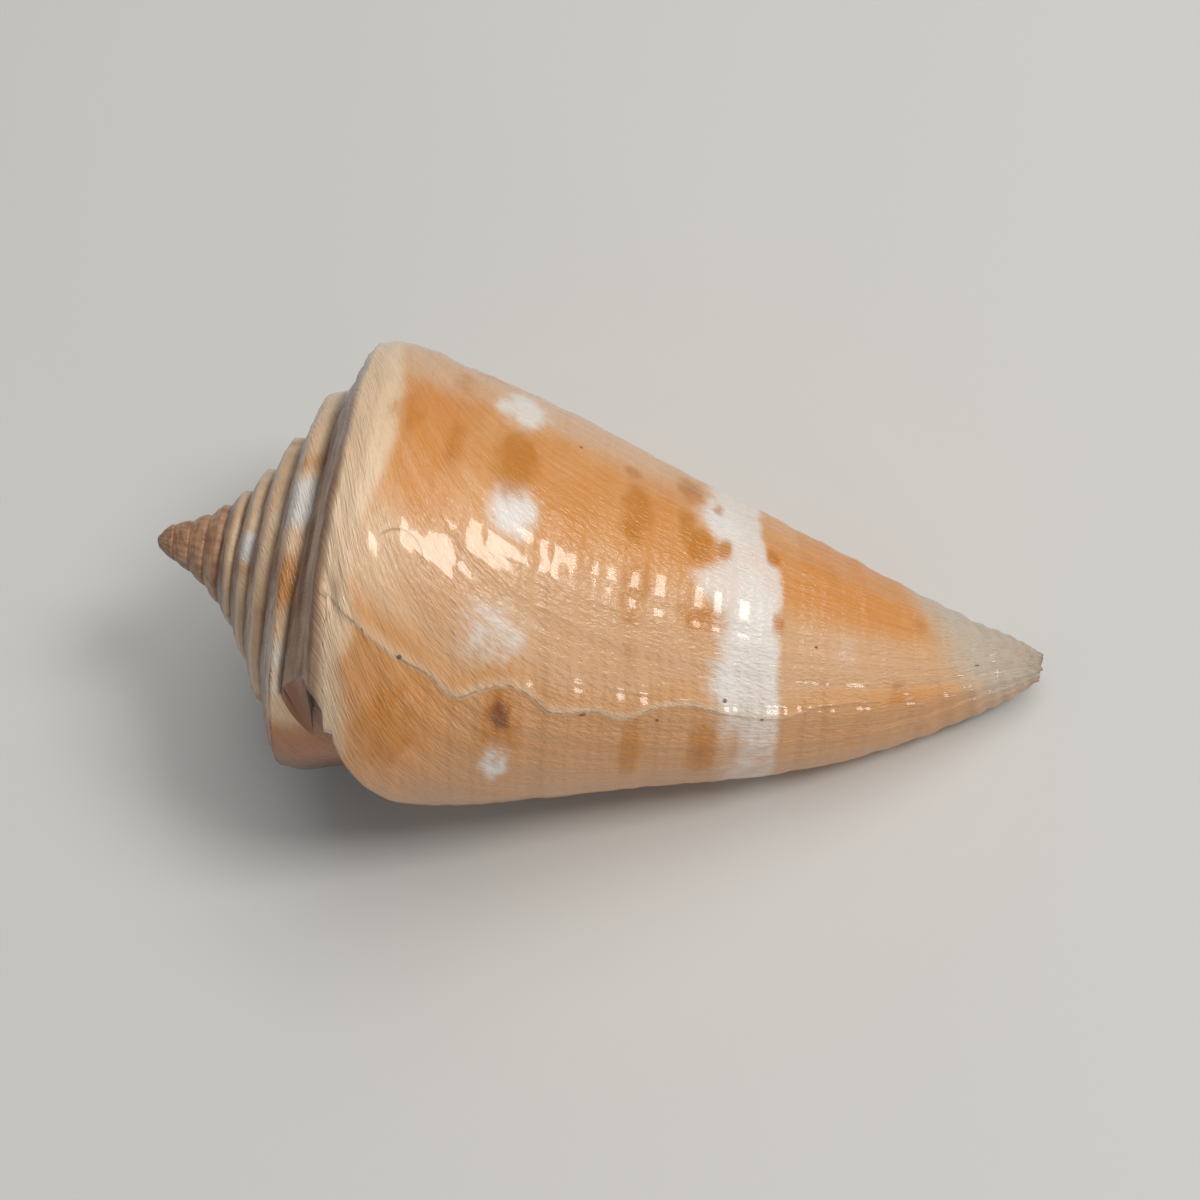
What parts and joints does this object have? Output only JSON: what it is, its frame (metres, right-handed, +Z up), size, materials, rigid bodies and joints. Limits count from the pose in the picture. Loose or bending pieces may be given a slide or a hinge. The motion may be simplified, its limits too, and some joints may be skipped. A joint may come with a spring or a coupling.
{
  "type": "cone shell",
  "caption": "Right-handed cone shell with a tall stepped spire, a rounded shoulder, a long conical body and a narrow open aperture, lying on its aperture side.",
  "frame": {"origin": "centre of the bottom of the shell's box, on the surface that it lies on", "axes": "+X along the shell from the apex to the front end, +Z up, -Y the side that the lip's back faces"},
  "size_m": [0.0388, 0.0208, 0.0192],
  "materials": {
    "shell": "semi-gloss natural shell, orange-tan with a cream shoulder, white mid band and amber spots; matt tan apex"
  },
  "bodies": {
    "root": {"shell": "shell"}
  },
  "joints": []
}
